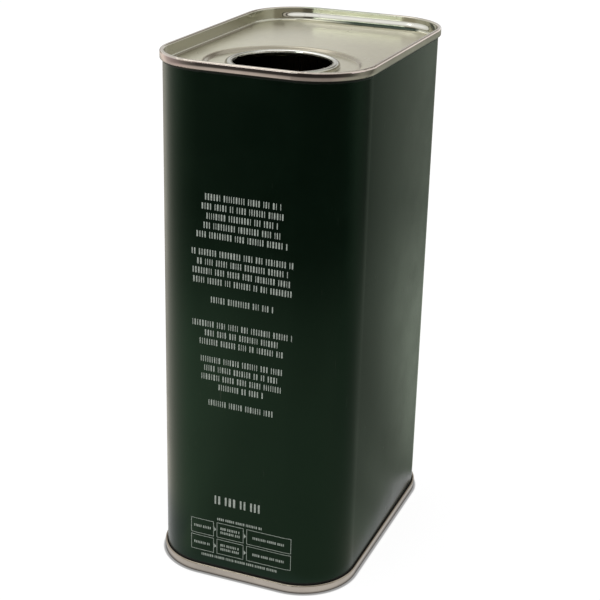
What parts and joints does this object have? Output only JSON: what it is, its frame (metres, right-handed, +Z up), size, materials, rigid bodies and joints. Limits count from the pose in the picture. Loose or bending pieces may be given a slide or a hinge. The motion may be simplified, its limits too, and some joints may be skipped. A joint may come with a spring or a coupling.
{
  "type": "olive oil tin",
  "caption": "Rectangular olive oil tin with rounded corners: dark green painted wall, bare double-seamed ends and an open round pouring mouth with a curled neck.",
  "frame": {"origin": "centre of the tin's outline, on the plane that it stands on", "axes": "+Z up; +X across the narrow faces; -Y out of the narrow front face, the one that the pouring mouth is close to"},
  "size_m": [0.069, 0.1014, 0.174],
  "materials": {
    "green_enamel": "satin",
    "tinplate": "satin",
    "sealing_compound": "matt"
  },
  "bodies": {
    "root": {"body_wall": "green_enamel", "top_end": "tinplate", "bottom_end": "tinplate", "top_seam_compound": "sealing_compound", "bottom_seam_compound": "sealing_compound"}
  },
  "joints": []
}
